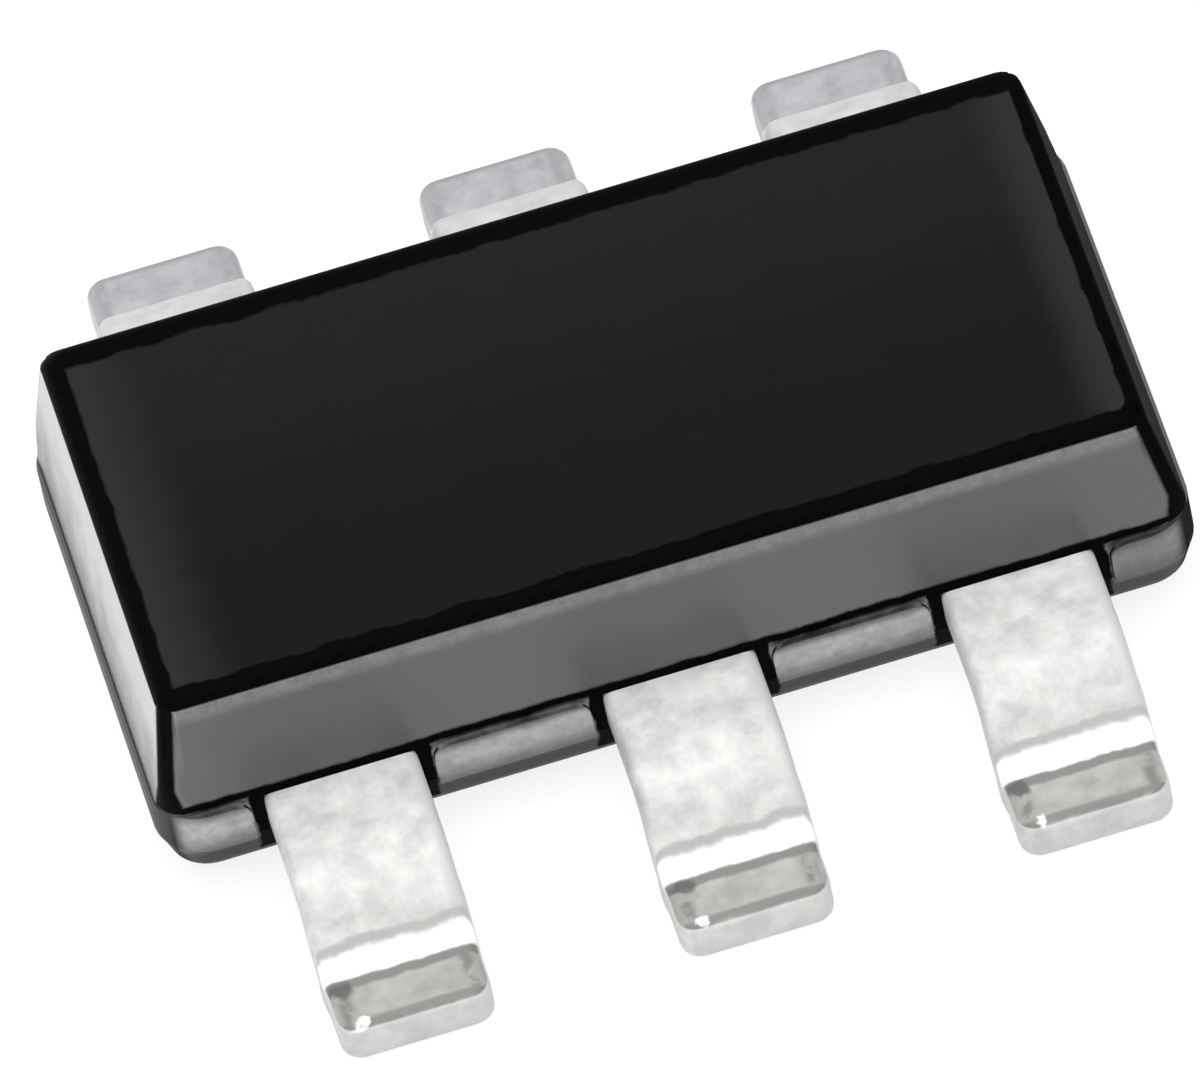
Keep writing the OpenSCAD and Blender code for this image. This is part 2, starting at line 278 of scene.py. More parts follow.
def towards(value, edge, start, full):
    """Rises as a value nears an edge: from 0 at a start short of it to 1 at a full short of it."""
    return ramp(value, edge - start, edge - full)


def both(*masks):
    """Product of masks: 1 only where all of them are."""
    value = masks[0]
    for mask in masks[1:]:
        value = math_node("MULTIPLY", value, mask)
    return value


def either(*masks):
    """Largest of masks."""
    value = masks[0]
    for mask in masks[1:]:
        value = math_node("MAXIMUM", value, mask)
    return value


def without(mask):
    """The opposite of a mask."""
    return math_node("SUBTRACT", 1.0, mask)


def band(value, low, high, soft):
    """1 between low and high, with soft ends of a given width."""
    return both(ramp(value, low - soft / 2, low + soft / 2),
                ramp(value, high - soft / 2, high + soft / 2, 1.0, 0.0))


def spot(first, second, middle, radius):
    """1 inside a soft round spot in the plane of two values."""
    offsets = [math_node("SUBTRACT", value, centre) for value, centre in zip((first, second), middle)]
    squares = [math_node("MULTIPLY", offset, offset) for offset in offsets]
    distance = math_node("SQRT", math_node("ADD", *squares))
    return ramp(distance, radius * 1.4, radius * 0.6)


def mix_colours(factor, first, second):
    """Mixes two colours by a factor, each a value or a socket."""
    node = add_node(tree_of(factor, first, second), "ShaderNodeMix", data_type="RGBA", clamp_factor=True)
    feed(node.inputs[MIX_FACTOR], factor)
    for index, colour in ((MIX_FIRST, first), (MIX_SECOND, second)):
        is_socket = isinstance(colour, bpy.types.NodeSocket)
        feed(node.inputs[index], colour if is_socket else (*colour[:3], 1.0))
    return node.outputs[MIX_RESULT]


def scaled(colour, factor):
    """A colour made lighter or darker, within 0 to 1."""
    return [min(1.0, c * factor) for c in colour]


def varied(noise, colour, darker, lighter):
    """A colour that a noise varies between two factors of itself."""
    return mix_colours(noise, scaled(colour, darker), scaled(colour, lighter))


def new_group(name, inputs, outputs):
    """Starts a shader node group. Inputs are (name, default) and outputs (name, socket type)."""
    tree = bpy.data.node_groups.new(name, "ShaderNodeTree")
    for label, default in inputs:
        socket = tree.interface.new_socket(name=label, in_out="INPUT", socket_type="NodeSocketFloat")
        socket.default_value = default
    for label, kind in outputs:
        tree.interface.new_socket(name=label, in_out="OUTPUT", socket_type=kind)
    return tree, tree.nodes.new("NodeGroupInput"), tree.nodes.new("NodeGroupOutput")


def use_group(tree, group, **values):
    """Places a group in a material with its own values, and returns its outputs."""
    node = add_node(tree, "ShaderNodeGroup")
    node.node_tree = bpy.data.node_groups[group]
    for name, value in values.items():
        feed(node.inputs[name.replace("_", " ").capitalize()], value)
    return node.outputs


def mottling(tree, blotches_per_mm, roughening, contrast):
    """Cloudy variation round 0.5."""
    return use_group(tree, "Mottling", blotches_per_mm=blotches_per_mm, roughening=roughening,
                     contrast=contrast)["Value"]


def add_grain(shader, grains_per_mm, relief):
    """Gives a material a fine grain."""
    grain = use_group(shader.id_data, "Fine grain", grains_per_mm=grains_per_mm, relief=relief)
    feed(shader.inputs["Normal"], grain["Normal"])


def millimetres(tree):
    """Object coordinates in millimetres."""
    place = add_node(tree, "ShaderNodeTexCoord")
    enlarged = add_node(tree, "ShaderNodeVectorMath", operation="SCALE")
    enlarged.inputs["Scale"].default_value = 1 / MM
    feed(enlarged.inputs[0], place.outputs["Object"])
    return enlarged.outputs[0]


def outward(tree):
    """The direction in which the surface faces, in the object's own axes."""
    return add_node(tree, "ShaderNodeTexCoord").outputs["Normal"]


def add_noise(tree, detail, scale):
    """Noise over the object, with a socket for its scale per millimetre."""
    noise = add_node(tree, "ShaderNodeTexNoise")
    noise.inputs["Detail"].default_value = detail
    feed(noise.inputs["Vector"], millimetres(tree))
    feed(noise.inputs["Scale"], scale)
    return noise


def make_axes_group(name, labels, vector):
    """A group that gives the three parts of what vector makes in its tree."""
    tree, _, out = new_group(name, [], [(label, "NodeSocketFloat") for label in labels])
    parts = add_node(tree, "ShaderNodeSeparateXYZ")
    feed(parts.inputs[0], vector(tree))
    for axis, label in zip("XYZ", labels):
        feed(out.inputs[label], parts.outputs[axis])


def make_effect_groups():
    """The effects that several finishes share."""
    # Cloudy variation with blotches of a given size in millimetres
    tree, given, out = new_group(
        "Mottling", [("Blotches per mm", 8.0), ("Roughening", 0.6), ("Contrast", 1.0)],
        [("Value", "NodeSocketFloat")])
    noise = add_noise(tree, 5.0, given.outputs["Blotches per mm"])
    feed(noise.inputs["Roughness"], given.outputs["Roughening"])
    centred = math_node("SUBTRACT", noise.outputs["Fac"], 0.5)
    spread = math_node("MULTIPLY", centred, given.outputs["Contrast"])
    feed(out.inputs["Value"], math_node("ADD", spread, 0.5, clamp=True))

    # Fine grain that stands up from the surface
    tree, given, out = new_group(
        "Fine grain", [("Grains per mm", 40.0), ("Relief", 0.3)], [("Normal", "NodeSocketVector")])
    noise = add_noise(tree, 3.0, given.outputs["Grains per mm"])
    bump = add_node(tree, "ShaderNodeBump")
    bump.inputs["Distance"].default_value = 0.01 * MM
    feed(bump.inputs["Strength"], given.outputs["Relief"])
    feed(bump.inputs["Height"], noise.outputs["Fac"])
    feed(out.inputs["Normal"], bump.outputs["Normal"])

    # Which way a surface faces, axis by axis from -1 to 1, and its place in millimetres
    make_axes_group("Facing", ("Along", "Across", "Upward"), outward)
    make_axes_group("Place", ("Along", "Across", "Height"), millimetres)


def new_material(name, **constants):
    """A material with a Principled BSDF, whose plain sockets are set from constants."""
    material = bpy.data.materials.new(name)
    material.use_nodes = True
    tree = material.node_tree
    shader = next(n for n in tree.nodes if n.type == "BSDF_PRINCIPLED")
    for key, value in constants.items():
        shader.inputs[key.replace("_", " ")].default_value = value
    return material, tree, shader


# Measures that the moulding and its finish share

def wall_inset(foot_z, arc_z, draft, rounding):
    """How far the flat of the top stands inside the foot of a wall, in the unit of its lengths."""
    return (arc_z - foot_z) * math.tan(draft) + rounding / math.cos(draft)


def flat_of_top(sizes):
    """Half the length and half the width of the flat of the top, and the height where its rounding
    starts, in millimetres."""
    rounding = sizes.top_rounding / MM
    arc_z = BODY_HIGH.z / MM - rounding
    flat_x, flat_y = (
        edge / MM - ledge / MM - wall_inset(FRAME_TOP / MM, arc_z, draft, rounding)
        for edge, ledge, draft in ((BODY_HIGH.x, sizes.end_ledge_width, sizes.end_draft),
                                   (BODY_HIGH.y, sizes.ledge_width, sizes.upper_draft)))
    return flat_x, flat_y, arc_z


# Finishes

def from_lead(along, pitch):
    """How far a point stands along the row from the middle of the nearest lead, with its sign."""
    columns = math_node("ROUND", math_node("DIVIDE", along, pitch))
    return math_node("SUBTRACT", along, math_node("MULTIPLY", columns, pitch))


def resin_places(tree):
    """Where a point of the moulding lies in millimetres, which way it faces, and an uneven shift."""
    facing, place = use_group(tree, "Facing"), use_group(tree, "Place")
    shift = math_node("SUBTRACT", mottling(tree, 9.0, 0.6, 0.05), 0.5)
    half_shift = math_node("MULTIPLY", shift, 0.5)
    return {
        "x": place["Along"], "y": place["Across"], "z": place["Height"],
        "along": math_node("ABSOLUTE", place["Along"]),
        "across": math_node("ABSOLUTE", place["Across"]),
        "height": math_node("ADD", place["Height"], half_shift),
        "rightward": facing["Along"], "backward": facing["Across"], "upward": facing["Upward"],
        "endward": math_node("ABSOLUTE", facing["Along"]),
        "sideward": math_node("ABSOLUTE", facing["Across"]),
        "shift": shift, "half_shift": half_shift,
        "above": ramp(place["Height"], FRAME_TOP / MM, FRAME_TOP / MM + 0.01),
    }


def top_masks(at, sizes):
    """The top with painted sheen at its ends, the painted black shade along its edge, and the painted
    highlight line under that edge.
    """
    # Where each mask starts and is full: as a cosine, or in millimetres inside an edge
    level, topside, raised = (0.990, 0.998), (0.80, 0.86), (0.24, 0.40)
    right_turn, back_turn, corner_turn, long_wall = (0.30, 0.45), (0.05, 0.15), (0.10, 0.30), (0.45, 0.75)
    left_strip, end_strip = (0.024, 0.012), (0.002, -0.006)
    back_strip, front_strip = (0.062, 0.048), (0.012, 0.002)
    left_sheen, end_sheen = (0.24, 0.01), (0.15, 0.01)
    rounding_foot, pale_line = (0.006, -0.004), (0.050, 0.012)

    flat_x, flat_y, arc_z = flat_of_top(sizes)
    flat = ramp(at["upward"], *level)
    top = both(ramp(at["upward"], *topside), ramp(at["z"], arc_z, arc_z + 0.003))
    wavy_x = math_node("ADD", at["along"], at["shift"])
    wavy_y = math_node("ADD", at["y"], at["shift"])
    leftward = math_node("SUBTRACT", at["shift"], at["x"])
    calm_leftward = math_node("SUBTRACT", at["half_shift"], at["x"])

    # Painted shade along the edge: black on a strip of the flat, and on the rounding down to where it
    # catches the light
    strip = either(towards(calm_leftward, flat_x, *left_strip),
                   towards(wavy_x, flat_x, *end_strip),
                   towards(wavy_y, flat_y, *back_strip),
                   ramp(wavy_y, front_strip[0] - flat_y, front_strip[1] - flat_y))
    on_rounding = both(without(flat), towards(at["height"], arc_z, *rounding_foot))
    turned = either(ramp(at["upward"], *raised), ramp(at["rightward"], *right_turn),
                    ramp(at["backward"], *back_turn))
    slanting = math_node("MULTIPLY", at["endward"], at["sideward"])
    corner = both(at["above"], ramp(math_node("ADD", slanting, at["shift"]), *corner_turn))
    edge = either(both(top, strip), both(on_rounding, turned), corner)

    # Painted highlight line where the rounding runs into the long walls, and painted sheen inside the black
    # edge at the ends
    painted_shine = both(ramp(at["sideward"], *long_wall), towards(at["height"], arc_z, *pale_line))
    painted_light_tone = either(towards(leftward, flat_x, *left_sheen), towards(wavy_x, flat_x, *end_sheen))
    return {"top": top, "edge": edge, "painted_shine": painted_shine, "painted_sheen": both(flat, top, painted_light_tone)}


def ledge_masks(at, sizes, leads):
    """Painted shade in the gap round each lead and along a crease line on the ledge, and the pale trimmed
    face of the ledge with painted light on it.
    """
    # Heights above or below the parting plane, and a soft border, in millimetres
    line_foot, line_top, gap_foot, gap_top, border = 0.006, 0.034, 0.13, 0.026, 0.012
    lit_top, lit_full, lit_foot = 0.008, 0.036, 0.060
    shade_towards_right, rounding, tip = (0.95, 1.25), (0.050, 0.035), (0.012, 0.004)

    parting, bottom, reach = FRAME_TOP / MM, FRAME_TOP / MM - leads.thickness / MM, BODY_HIGH.y / MM
    flat_y = flat_of_top(sizes)[1]
    from_middle = math_node("ABSOLUTE", from_lead(at["x"], leads.pitch / MM))
    beside = math_node("ADD", from_middle, at["shift"])
    gap = (leads.width / 2 + sizes.ledge_gap) / MM
    # Painted shade: black in the gap beside each lead and in a crease line at the foot of the upper wall
    outer = ramp(at["across"], flat_y + 0.02, flat_y + 0.03)
    gap_shade = both(outer, ramp(beside, gap - 0.005, gap + 0.005, 1.0, 0.0),
                  band(at["height"], gap_foot, parting + gap_top, border))
    crease_shade = both(outer, band(at["height"], parting + line_foot, parting + line_top, border))

    # Painted light: brightest in the middle of its height, with painted shade growing towards +X
    painted_lighting = both(ramp(at["height"], parting + lit_top, parting - lit_full),
               ramp(at["height"], bottom - 0.01, parting - lit_foot, 0.2, 1.0),
               ramp(at["x"], *shade_towards_right, 1.0, 0.35))
    round_corner = both(towards(at["across"], reach, *rounding),
                        ramp(at["height"], bottom, bottom + 0.01),
                        without(ramp(at["endward"], 0.5, 0.75)))
    face = towards(at["across"], reach, *tip)
    return {"dark": either(gap_shade, crease_shade), "trimmed": both(painted_lighting, either(face, round_corner))}


def wall_polish(at, leads):
    """How well the walls mirror: less below the ledge, on it at the ends, and at the +X end, where the
    weaker mirroring paints shade.
    """
    bottom = FRAME_TOP / MM - leads.thickness / MM
    at_end = both(without(at["above"]), ramp(at["endward"], 0.5, 0.8))
    dull_ledge = ramp(at_end, 0.0, 1.0, 1.0, 0.35)
    dull_below = ramp(at["z"], bottom - 0.05, bottom, 0.35, 0.75)
    shaded_right_end = ramp(at["rightward"], 0.4, 0.8, 1.0, 0.12)
    # The -X end mirrors less towards its foot, which paints shade there
    uneven_z = math_node("ADD", at["z"], math_node("MULTIPLY", at["shift"], 6.0))
    towards_foot = ramp(uneven_z, 0.66, 0.38, 0.05, 0.45)
    fading = without(both(towards_foot, ramp(at["rightward"], -0.4, -0.8)))
    return both(dull_ledge, either(dull_below, at["above"]), shaded_right_end, fading)


def resin_finish(colours, sizes, leads):
    """Moulding compound: matte black top with painted black shade along its edges and painted highlights,
    and polished walls that mirror their surroundings."""
    material, tree, shader = new_material("Moulded resin", Specular_IOR_Level=0.02, Roughness=0.55,
                                          Coat_Roughness=0.27, Coat_IOR=2.05)
    at = resin_places(tree)
    masks = {**top_masks(at, sizes), **ledge_masks(at, sizes, leads)}
    # Painted shade: black along the top's edge and corners, in the gaps round the leads and in the crease
    # line
    black = either(masks["edge"], masks["dark"])
    mottle = mottling(tree, 9.0, 0.75, 1.6)
    streaks = mottling(tree, 30.0, 0.6, 2.2)

    # The top is a little paler towards the back
    backness = ramp(at["y"], -0.4, 0.7)
    face = varied(backness, colours.resin, 0.80, 1.35)
    face = mix_colours(mottle, mix_colours(0.12, face, (0, 0, 0)), face)
    # Painted sheen: the top paler inside the black edge at its ends
    face = mix_colours(masks["painted_sheen"], face, scaled(colours.resin, 2.15))
    # Colour of the painted highlight line under the top's long edges
    line = mix_colours(streaks, (0.05, 0.05, 0.052), (0.13, 0.13, 0.134))
    walls = mix_colours(masks["painted_shine"], varied(mottle, colours.resin, 0.3, 1.1), line)
    colour = mix_colours(masks["top"], walls, face)
    # The trimmed face of the ledge in pale resin, with painted light brightest in the middle of its height
    # and fading towards +X
    colour = mix_colours(masks["trimmed"], colour, varied(streaks, colours.cut_resin, 0.75, 1.2))
    colour = mix_colours(black, colour, PAINTED_SHADE_BLACK)
    feed(shader.inputs["Base Color"], colour)
    uncoated = either(masks["top"], black, masks["trimmed"])
    coated = both(wall_polish(at, leads), without(uncoated))
    feed(shader.inputs["Coat Weight"], coated)
    add_grain(shader, 45.0, 0.25)
    return material


def tin_masks(tree, sizes, stains):
    """Marks on the leads: the painted highlight and shade of the lower bend, the foot with its painted
    shade, rims, shadow spot and glint, and the parts above them.
    """
    # Where each mask starts and is full: as a height in millimetres, or as a cosine
    bend_top, line_top, shank_part, shoulder_part = (0.22, 0.18), (0.26, 0.24), (0.20, 0.30), (0.32, 0.34)
    topside, slanted, nearly_level = (0.25, 0.35), (0.3, 0.5), (0.45, 0.65)
    level, toe_end = (0.86, 0.99), (0.75, 0.95)

    facing, place = use_group(tree, "Facing"), use_group(tree, "Place")
    upward, height = facing["Upward"], place["Height"]
    swing = math_node("SUBTRACT", stains, 0.5)
    shift, jitter = math_node("MULTIPLY", swing, 0.008), math_node("MULTIPLY", swing, 0.03)
    across = math_node("ADD", math_node("ABSOLUTE", place["Across"]), shift)
    off_centre = math_node("ADD", from_lead(place["Along"], sizes.pitch / MM), shift)
    front = ramp(place["Across"], 0.0, 0.1, 1.0, 0.0)

    # Where the lower bend starts and ends, outwards from the middle of the package
    toe, half = TOE / MM, sizes.width / MM / 2
    bend_out = toe - sizes.foot_length / MM
    bend_in = bend_out - sizes.lower_bend / MM * math.sin(sizes.shank_angle)
    low = ramp(height, *bend_top)
    above = ramp(upward, *topside)
    # Painted highlight: a white band across the lower bend, weaker on the back row
    white = both(low, above, band(across, bend_in - 0.004, bend_out - 0.018, 0.012))
    # Painted shade: a dark line across the lead where the lower bend starts
    line = both(ramp(height, *line_top), above,
                band(across, bend_in - 0.018, bend_in - 0.003, 0.007))
    foot = both(low, ramp(upward, *nearly_level),
                ramp(across, bend_out - 0.020, bend_out - 0.008))

    # Painted shade: dark rims round the top of the foot, strongest in the front row
    inner_rim = both(front, band(across, bend_out - 0.02, bend_out + 0.018, 0.014))
    outer_rim = band(across, toe - 0.030, toe - 0.006, 0.014)
    beside = band(math_node("ABSOLUTE", off_centre), half - 0.060, half - 0.022, 0.030)
    side_rim = both(beside, ramp(stains, 0.2, 0.6))
    strength = ramp(front, 0.0, 1.0, 0.7, 1.0)
    rim = both(foot, strength, either(inner_rim, outer_rim, side_rim))

    # A painted shadow spot in the inner corner and a painted glint near the toe, on the front row's feet
    uneven_x, uneven_y = math_node("ADD", off_centre, jitter), math_node("SUBTRACT", across, jitter)
    corner_shadow_spot = both(foot, front, spot(uneven_x, uneven_y, (0.045 - half, bend_out + 0.012), 0.030))
    glint = both(low, front, ramp(upward, *slanted),
                 spot(uneven_x, uneven_y, (0.060 - half, toe - 0.015), 0.016))

    shoulder = both(front, ramp(upward, *level), ramp(height, *shoulder_part))
    end_face = ramp(math_node("ABSOLUTE", facing["Across"]), *toe_end)
    return {
        "front": front, "white": white, "line": line, "foot": foot,
        "rim": rim, "corner_shadow_spot": corner_shadow_spot, "glint": glint,
        "right_edge_shade": ramp(off_centre, half - 0.05, half - 0.02),
        "shoulder": shoulder,
        "upper_bend": both(without(shoulder), ramp(height, *shank_part)),
        "toe": both(low, end_face, ramp(across, toe - 0.03, toe - 0.02)),
    }


def tin_finish(colours, sizes):
    """Matte tin plating: blotchy and pale, with a painted white highlight in the lower bend and painted
    shade, a painted shadow spot and a painted glint on top of the foot.
    """
    material, tree, shader = new_material("Tin plate", Specular_IOR_Level=0.3, Metallic=0.08)
    blotches, stains = mottling(tree, 12.0, 0.62, 3.0), mottling(tree, 13.0, 0.6, 3.0)
    masks = tin_masks(tree, sizes, stains)
    front, tin = masks["front"], colours.tin

    # Palest on the shoulder and the shank, painted shade on the upper bend, and darker on the end of the toe
    plain = varied(blotches, tin, 0.62, 0.88)
    pale = mix_colours(masks["upper_bend"], plain, varied(blotches, tin, 0.58, 0.84))
    pale = mix_colours(masks["shoulder"], pale, plain)
    pale = mix_colours(masks["toe"], pale, varied(stains, tin, 0.62, 0.80))
    # Painted shade along the +X edge of each lead
    pale = mix_colours(masks["right_edge_shade"], pale, scaled(tin, 0.70))
    # Painted shade: the back row darker and cooler than the front
    pale = mix_colours(both(without(front), 0.35), pale, scaled(colours.shaded_cool_tin, 1.2))
    # Painted shade: the top of each foot greyer than the rest of the lead
    painted_light_tone = mix_colours(front, varied(stains, colours.shaded_cool_tin, 0.80, 1.10),
                       varied(stains, colours.shaded_foot_tin, 0.80, 1.10))
    rim_shade_colour = mix_colours(front, scaled(colours.shaded_cool_tin, 0.66), scaled(colours.shaded_foot_tin, 0.52))
    highlight_colour = mix_colours(front, (0.74, 0.74, 0.755), (0.98, 0.98, 0.97))
    colour = mix_colours(masks["foot"], pale, painted_light_tone)
    # Painted shade of the rims round the foot
    colour = mix_colours(masks["rim"], colour, rim_shade_colour)
    # Painted shade of the line where the lower bend starts
    colour = mix_colours(masks["line"], colour, scaled(tin, 0.56))
    # Colours of the painted highlight on the lower bend
    colour = mix_colours(masks["white"], colour, highlight_colour)
    # Painted shadow in the foot's inner corner, then a painted glint
    colour = mix_colours(both(masks["corner_shadow_spot"], 0.9), colour, scaled(colours.shaded_foot_tin, 0.25))
    colour = mix_colours(masks["glint"], colour, (0.96, 0.96, 0.95))
    feed(shader.inputs["Base Color"], colour)
    feed(shader.inputs["Roughness"], ramp(blotches, 0.0, 1.0, 0.42, 0.58))
    add_grain(shader, 18.0, 0.3)
    return material


def silicon_finish(colours):
    """Polished silicon with a faint haze."""
    material, tree, shader = new_material("Silicon die", Specular_IOR_Level=0.8, Metallic=0.6)
    mottle = mottling(tree, 6.0, 0.5, 1.2)
    feed(shader.inputs["Base Color"], varied(mottle, colours.silicon, 0.85, 1.2))
    feed(shader.inputs["Roughness"], ramp(mottle, 0.0, 1.0, 0.12, 0.25))
    return material


def adhesive_finish(colours):
    """Silver flakes in epoxy."""
    material, tree, shader = new_material("Silver adhesive", Roughness=0.45)
    flakes = mottling(tree, 60.0, 0.8, 3.0)
    feed(shader.inputs["Base Color"], varied(flakes, colours.adhesive, 0.6, 1.3))
    feed(shader.inputs["Metallic"], ramp(flakes, 0.3, 0.8))
    add_grain(shader, 80.0, 0.4)
    return material


def gold_finish(colours):
    """Drawn gold wire with fine drawing marks."""
    material, tree, shader = new_material("Drawn gold", Metallic=1.0)
    marks = mottling(tree, 90.0, 0.6, 1.5)
    feed(shader.inputs["Base Color"], varied(marks, colours.gold, 0.85, 1.12))
    feed(shader.inputs["Roughness"], ramp(marks, 0.0, 1.0, 0.2, 0.34))
    return material


def floor_finish():
    """Pale floor that the camera and shiny surfaces see as white, apart from a soft shadow."""
    material, tree, shader = new_material("Studio floor", Specular_IOR_Level=0.0, Roughness=1.0)
    rays = add_node(tree, "ShaderNodeLightPath").outputs
    mirrored = rays["Is Glossy Ray"]
    seen = either(rays["Is Camera Ray"], mirrored, rays["Is Transmission Ray"])
    feed(shader.inputs["Base Color"], mix_colours(seen, (0.80, 0.80, 0.80), (0.22, 0.22, 0.22)))
    shader.inputs["Emission Color"].default_value = (*WHITE, 1.0)
    # In shiny surfaces it is brighter than white to the left of the chip, and black beside its right end
    place = use_group(tree, "Place")
    bright_left, dark_right, past_front = (-1.3, -1.8), (1.36, 1.44), (-0.7, -0.5)     # in millimetres
    left = both(mirrored, ramp(place["Along"], *bright_left))
    right = both(mirrored, ramp(place["Along"], *dark_right), ramp(place["Across"], *past_front))
    level = math_node("ADD", both(seen, 0.84), both(left, 1.1))
    feed(shader.inputs["Emission Strength"], both(level, without(right)))
    return material


# Shared with the operators

def fit_finish(name, material):
    """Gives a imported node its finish."""
    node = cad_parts[name]
    for piece_slot in node.material_slots:
        piece_slot.material = material
    return node


def link_piece(name, bm, material, node):
    """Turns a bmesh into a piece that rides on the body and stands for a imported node."""
    mesh = bpy.data.meshes.new(name)
    bm.to_mesh(mesh)
    bm.free()
    mesh.materials.append(material)
    for polygon in mesh.polygons:
        polygon.use_smooth = True
    piece = bpy.data.objects.new(name, mesh)
    bpy.context.scene.collection.objects.link(piece)
    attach(piece, BODY)
    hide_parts(node)
    return piece


# Moulded body

def half_extent(z, foot, ledge, sizes, draft):
    """Half the length or width of the moulding at a height, from the foot of its upper wall."""
    top_arc, low_arc = BODY_HIGH.z - sizes.top_rounding, BODY_LOW.z + sizes.bottom_rounding
    if z > top_arc:
        centre = foot - wall_inset(FRAME_TOP, top_arc, draft, sizes.top_rounding)
        return centre + math.sqrt(max(0.0, sizes.top_rounding ** 2 - (z - top_arc) ** 2))
    if z > FRAME_TOP + NEAR:
        return foot - (z - FRAME_TOP) * math.tan(draft)
    if z > FRAME_BOTTOM - NEAR:
        return foot + ledge
    if z > low_arc:
        return foot - (FRAME_BOTTOM - z) * math.tan(sizes.lower_draft)
    centre = foot - wall_inset(low_arc, FRAME_BOTTOM, sizes.lower_draft, sizes.bottom_rounding)
    return centre + math.sqrt(max(0.0, sizes.bottom_rounding ** 2 - (low_arc - z) ** 2))


def keep_normals(bm, mesh):
    """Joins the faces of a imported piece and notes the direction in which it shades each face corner."""
    exact = bm.loops.layers.float_vector.new("Exact normal")
    normals = iter(mesh.corner_normals)
    for face in bm.faces:
        for loop in face.loops:
            loop[exact] = next(normals).vector
    bmesh.ops.remove_doubles(bm, verts=bm.verts[:], dist=NEAR / 10)
    return exact


def cut(bm, faces, place, normal):
    """Cuts the given faces along a plane."""
    parts = {item for face in faces for item in (face, *face.edges, *face.verts)}
    bmesh.ops.bisect_plane(bm, geom=list(parts), dist=NEAR / 10, plane_co=place, plane_no=normal)


def refine_corners(bm, axis):
    """Finer faces at the upright corners: a block at each, then levels, then a fan of cuts."""
    for side in (-1, 1):
        cut(bm, bm.faces[:], (side * axis.x, 0, 0), (1, 0, 0))
        cut(bm, bm.faces[:], (0, side * axis.y, 0), (0, 1, 0))
    for side_x, side_y in ((-1, -1), (-1, 1), (1, -1), (1, 1)):
        for share in CORNER_LEVELS:
            faces = corner_faces(bm, axis, side_x, side_y)
            cut(bm, faces, (0, 0, FRAME_TOP + share * CORNER_FADE), (0, 0, 1))
        for turn in map(math.radians, CORNER_ANGLES):
            faces = corner_faces(bm, axis, side_x, side_y)
            cut(bm, faces, (side_x * axis.x, side_y * axis.y, 0),
                (-math.sin(turn) * side_x, math.cos(turn) * side_y, 0))


def corner_faces(bm, axis, side_x, side_y):
    """The faces of the block at one corner."""
    return [face for face in bm.faces
            if all(vert.co.x * side_x > axis.x - NEAR and vert.co.y * side_y > axis.y - NEAR
                   for vert in face.verts)]


def corner_arc(vert, foot, sizes):
    """Middle and radius of the rounding of a corner, at a point's height."""
    z = vert.co.z
    up = max(0.0, (z - FRAME_TOP) / CORNER_FADE)
    radius = sizes.low_corner_rounding + (sizes.corner_rounding - sizes.low_corner_rounding) * min(1.0, up)
    # At the ledge's own height a point belongs either to the ledge or to the wall that stands on or under it
    levels = [edge.other_vert(vert).co.z for edge in vert.link_edges]
    on_wall = (abs(z - FRAME_TOP) < NEAR and max(levels) > z + NEAR or
               abs(z - FRAME_BOTTOM) < NEAR and min(levels) < z - NEAR)
    if not on_wall and FRAME_BOTTOM - NEAR < z < FRAME_TOP + NEAR:
        radius = sizes.ledge_corner_rounding
    end_ledge, long_ledge = (0, 0) if on_wall else (sizes.end_ledge_width, sizes.ledge_width)
    foot_x, foot_y = foot
    middle = Vector((half_extent(z, foot_x, end_ledge, sizes, sizes.end_draft) - radius,
                     half_extent(z, foot_y, long_ledge, sizes, sizes.upper_draft) - radius))
    return middle, radius


def soften_corners(bm, exact, sizes):
    """Rounds the four upright corners, more at the ledge and below it than in the walls above."""
    foot = BODY_HIGH.x - sizes.end_ledge_width, BODY_HIGH.y - sizes.ledge_width
    room = sizes.low_corner_rounding + CORNER_MARGIN
    axis = Vector([half_extent(BODY_LOW.z, side, 0, sizes, 0) - room for side in foot])
    refine_corners(bm, axis)

    # Every point outside the arc is pressed in along its own line of the fan
    for vert in bm.verts:
        flat = Vector((abs(vert.co.x), abs(vert.co.y)))
        if min(flat - axis) < -NEAR:
            continue
        middle, radius = corner_arc(vert, foot, sizes)
        if min(flat - middle) <= 0 or (flat - middle).length <= radius:
            continue
        line = (flat - axis).normalized()
        along = line.dot(axis - middle)
        reach = math.sqrt(max(0.0, along ** 2 - (axis - middle).length_squared + radius ** 2)) - along
        flat = axis + line * reach
        vert.co.x, vert.co.y = math.copysign(flat.x, vert.co.x), math.copysign(flat.y, vert.co.y)
        out = Vector((math.copysign(flat.x - middle.x, vert.co.x),
                      math.copysign(flat.y - middle.y, vert.co.y))).normalized()
        for loop in vert.link_loops:
            steep = loop[exact].normalized()
            loop[exact] = (*(out * steep.xy.length), steep.z)
    bmesh.ops.remove_doubles(bm, verts=bm.verts[:], dist=NEAR)


# Leads

def push(bm, face, offset):
    """Extrudes a face by an offset and returns the new end face."""
    made = bmesh.ops.extrude_face_region(bm, geom=[face])["geom"]
    verts = [item for item in made if isinstance(item, bmesh.types.BMVert)]
    bmesh.ops.translate(bm, verts=verts, vec=offset)
    if face.is_valid:
        bm.faces.remove(face)
    return next(item for item in made if isinstance(item, bmesh.types.BMFace))


def press(bm, face, centre, angle):
    """Bends the strip on from an end face, round an axis across the lead, and returns the new end face."""
    made = bmesh.ops.spin(bm, geom=[face], cent=centre, axis=(1, 0, 0), angle=angle, steps=BEND_STEPS,
                          use_merge=False, use_duplicate=False)["geom_last"]
    if face.is_valid and face not in made:
        bm.faces.remove(face)
    return next(item for item in made if isinstance(item, bmesh.types.BMFace))


